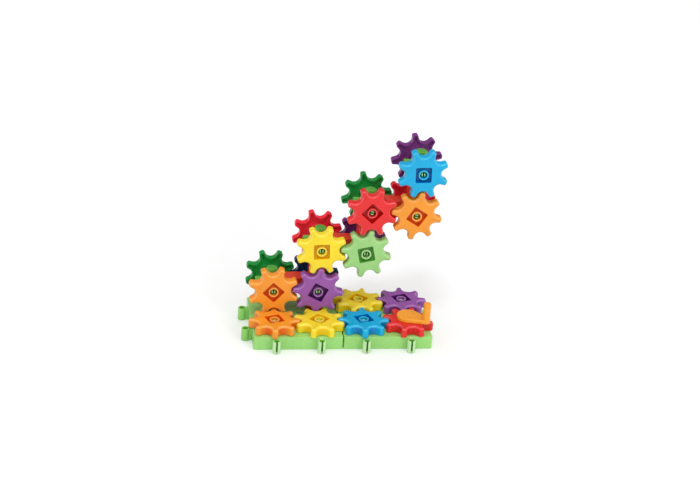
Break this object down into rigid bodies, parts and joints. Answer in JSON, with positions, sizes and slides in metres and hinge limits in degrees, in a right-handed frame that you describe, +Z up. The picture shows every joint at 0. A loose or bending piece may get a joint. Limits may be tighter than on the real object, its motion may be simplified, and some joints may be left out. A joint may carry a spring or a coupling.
{
  "type": "geared construction toy",
  "caption": "Plastic gear building toy: two green base plates, flat gears, a leaning staircase tower of upright gears on square pillars and six-way axles, and a hand crank.",
  "frame": {"origin": "middle of the underside of the whole toy's box, on the surface that it stands on", "axes": "+X to the right along both base plates, +Y to the back, +Z up"},
  "size_m": [0.2236, 0.1152, 0.2185],
  "materials": {
    "plate_green": "smooth moulded plastic with a soft gloss",
    "axle_green": "smooth moulded plastic with a soft gloss",
    "pillar_red": "smooth moulded plastic with a soft gloss",
    "gear_orange": "smooth moulded plastic with a soft gloss",
    "gear_yellow": "smooth moulded plastic with a soft gloss",
    "gear_blue": "smooth moulded plastic with a soft gloss",
    "gear_red": "smooth moulded plastic with a soft gloss",
    "gear_purple": "smooth moulded plastic with a soft gloss",
    "crank_orange": "smooth moulded plastic with a soft gloss",
    "gear_light_green": "smooth moulded plastic with a soft gloss",
    "gear_dark_green": "smooth moulded plastic with a soft gloss",
    "gear_blue_dark": "smooth moulded plastic with a soft gloss",
    "gear_dark_red": "smooth moulded plastic with a soft gloss",
    "gear_dark_purple": "smooth moulded plastic with a soft gloss"
  },
  "bodies": {
    "base_and_tower": {"left_base_plate": "plate_green", "right_base_plate": "plate_green", "six_way_axle_c1_l1": "axle_green", "six_way_axle_c2_l1": "axle_green", "six_way_axle_c2_l2": "axle_green", "six_way_axle_c3_l2": "axle_green", "six_way_axle_c3_l3": "axle_green", "six_way_axle_c4_l3": "axle_green", "six_way_axle_c4_l4": "axle_green", "cross_pillar_c1_l1_to_c2_l1": "pillar_red", "upright_pillar_c2_l1_to_c2_l2": "pillar_red", "cross_pillar_c2_l2_to_c3_l2": "pillar_red", "upright_pillar_c3_l2_to_c3_l3": "pillar_red", "cross_pillar_c3_l3_to_c4_l3": "pillar_red", "upright_pillar_c4_l3_to_c4_l4": "pillar_red", "base_pillar_c1": "pillar_red", "base_pillar_c2": "pillar_red"},
    "red_gear_and_crank": {"flat_gear_red": "gear_red", "hand_crank": "crank_orange"},
    "flat_gear_orange": {"flat_gear_orange": "gear_orange"},
    "flat_gear_yellow": {"flat_gear_yellow": "gear_yellow"},
    "flat_gear_blue": {"flat_gear_blue": "gear_blue"},
    "flat_gear_yellow_back": {"flat_gear_yellow_back": "gear_yellow"},
    "flat_gear_purple_back": {"flat_gear_purple_back": "gear_purple"},
    "front_gear_orange": {"front_gear_orange": "gear_orange"},
    "front_gear_purple": {"front_gear_purple": "gear_purple"},
    "front_gear_yellow": {"front_gear_yellow": "gear_yellow"},
    "front_gear_light_green": {"front_gear_light_green": "gear_light_green"},
    "front_gear_red": {"front_gear_red": "gear_red"},
    "front_gear_orange_upper": {"front_gear_orange_upper": "gear_orange"},
    "front_gear_blue": {"front_gear_blue": "gear_blue"},
    "back_gear_green": {"back_gear_green": "gear_dark_green"},
    "back_gear_navy": {"back_gear_navy": "gear_blue_dark"},
    "back_gear_dark_red": {"back_gear_dark_red": "gear_dark_red"},
    "back_gear_dark_purple": {"back_gear_dark_purple": "gear_dark_purple"},
    "back_gear_green_upper": {"back_gear_green_upper": "gear_dark_green"},
    "back_gear_red_upper": {"back_gear_red_upper": "gear_dark_red"},
    "back_gear_purple_top": {"back_gear_purple_top": "gear_dark_purple"}
  },
  "joints": [
    {"name": "crank_turn", "type": "hinge", "parent": "base_and_tower", "child": "red_gear_and_crank", "pos_m": [0.07469, -0.02113, -0.003], "axis": [0, 0, 1], "continuous": true},
    {"name": "flat_gear_orange_spin", "type": "hinge", "parent": "base_and_tower", "child": "flat_gear_orange", "pos_m": [-0.07531, -0.02113, -0.003], "axis": [0, 0, 1], "continuous": true},
    {"name": "flat_gear_yellow_spin", "type": "hinge", "parent": "base_and_tower", "child": "flat_gear_yellow", "pos_m": [-0.02531, -0.02113, -0.003], "axis": [0, 0, 1], "continuous": true},
    {"name": "flat_gear_blue_spin", "type": "hinge", "parent": "base_and_tower", "child": "flat_gear_blue", "pos_m": [0.02469, -0.02113, -0.003], "axis": [0, 0, 1], "continuous": true},
    {"name": "flat_gear_yellow_back_spin", "type": "hinge", "parent": "base_and_tower", "child": "flat_gear_yellow_back", "pos_m": [0.02469, 0.02887, -0.003], "axis": [0, 0, 1], "continuous": true},
    {"name": "flat_gear_purple_back_spin", "type": "hinge", "parent": "base_and_tower", "child": "flat_gear_purple_back", "pos_m": [0.07469, 0.02887, -0.003], "axis": [0, 0, 1], "continuous": true},
    {"name": "front_gear_orange_spin", "type": "hinge", "parent": "base_and_tower", "child": "front_gear_orange", "pos_m": [-0.07531, 0.02887, 0.047], "axis": [0, 1, 0], "continuous": true},
    {"name": "front_gear_purple_spin", "type": "hinge", "parent": "base_and_tower", "child": "front_gear_purple", "pos_m": [-0.02531, 0.02887, 0.047], "axis": [0, 1, 0], "continuous": true},
    {"name": "front_gear_yellow_spin", "type": "hinge", "parent": "base_and_tower", "child": "front_gear_yellow", "pos_m": [-0.02391, 0.02887, 0.09698], "axis": [0, 1, 0], "continuous": true},
    {"name": "front_gear_light_green_spin", "type": "hinge", "parent": "base_and_tower", "child": "front_gear_light_green", "pos_m": [0.02599, 0.02887, 0.09375], "axis": [0, 1, 0], "continuous": true},
    {"name": "front_gear_red_spin", "type": "hinge", "parent": "base_and_tower", "child": "front_gear_red", "pos_m": [0.02965, 0.02887, 0.14362], "axis": [0, 1, 0], "continuous": true},
    {"name": "front_gear_orange_upper_spin", "type": "hinge", "parent": "base_and_tower", "child": "front_gear_orange_upper", "pos_m": [0.07951, 0.02887, 0.13996], "axis": [0, 1, 0], "continuous": true},
    {"name": "front_gear_blue_spin", "type": "hinge", "parent": "base_and_tower", "child": "front_gear_blue", "pos_m": [0.08317, 0.02887, 0.18982], "axis": [0, 1, 0], "continuous": true},
    {"name": "back_gear_green_spin", "type": "hinge", "parent": "base_and_tower", "child": "back_gear_green", "pos_m": [-0.07531, 0.02887, 0.047], "axis": [0, 1, 0], "continuous": true},
    {"name": "back_gear_navy_spin", "type": "hinge", "parent": "base_and_tower", "child": "back_gear_navy", "pos_m": [-0.02531, 0.02887, 0.047], "axis": [0, 1, 0], "continuous": true},
    {"name": "back_gear_dark_red_spin", "type": "hinge", "parent": "base_and_tower", "child": "back_gear_dark_red", "pos_m": [-0.02391, 0.02887, 0.09698], "axis": [0, 1, 0], "continuous": true},
    {"name": "back_gear_dark_purple_spin", "type": "hinge", "parent": "base_and_tower", "child": "back_gear_dark_purple", "pos_m": [0.02599, 0.02887, 0.09375], "axis": [0, 1, 0], "continuous": true},
    {"name": "back_gear_green_upper_spin", "type": "hinge", "parent": "base_and_tower", "child": "back_gear_green_upper", "pos_m": [0.02965, 0.02887, 0.14362], "axis": [0, 1, 0], "continuous": true},
    {"name": "back_gear_red_upper_spin", "type": "hinge", "parent": "base_and_tower", "child": "back_gear_red_upper", "pos_m": [0.07951, 0.02887, 0.13996], "axis": [0, 1, 0], "continuous": true},
    {"name": "back_gear_purple_top_spin", "type": "hinge", "parent": "base_and_tower", "child": "back_gear_purple_top", "pos_m": [0.08317, 0.02887, 0.18982], "axis": [0, 1, 0], "continuous": true}
  ],
  "couplings": [
    {"joint": "flat_gear_orange_spin", "follows": "crank_turn", "ratio": -1},
    {"joint": "flat_gear_yellow_spin", "follows": "crank_turn", "ratio": 1},
    {"joint": "flat_gear_blue_spin", "follows": "crank_turn", "ratio": -1},
    {"joint": "flat_gear_yellow_back_spin", "follows": "crank_turn", "ratio": 1},
    {"joint": "flat_gear_purple_back_spin", "follows": "crank_turn", "ratio": -1},
    {"joint": "front_gear_orange_spin", "follows": "crank_turn", "ratio": -1},
    {"joint": "front_gear_purple_spin", "follows": "crank_turn", "ratio": 1},
    {"joint": "front_gear_yellow_spin", "follows": "crank_turn", "ratio": -1},
    {"joint": "front_gear_light_green_spin", "follows": "crank_turn", "ratio": 1},
    {"joint": "front_gear_red_spin", "follows": "crank_turn", "ratio": -1},
    {"joint": "front_gear_orange_upper_spin", "follows": "crank_turn", "ratio": 1},
    {"joint": "front_gear_blue_spin", "follows": "crank_turn", "ratio": -1},
    {"joint": "back_gear_navy_spin", "follows": "back_gear_green_spin", "ratio": -1},
    {"joint": "back_gear_dark_red_spin", "follows": "back_gear_green_spin", "ratio": 1},
    {"joint": "back_gear_dark_purple_spin", "follows": "back_gear_green_spin", "ratio": -1},
    {"joint": "back_gear_green_upper_spin", "follows": "back_gear_green_spin", "ratio": 1},
    {"joint": "back_gear_red_upper_spin", "follows": "back_gear_green_spin", "ratio": -1},
    {"joint": "back_gear_purple_top_spin", "follows": "back_gear_green_spin", "ratio": 1}
  ]
}
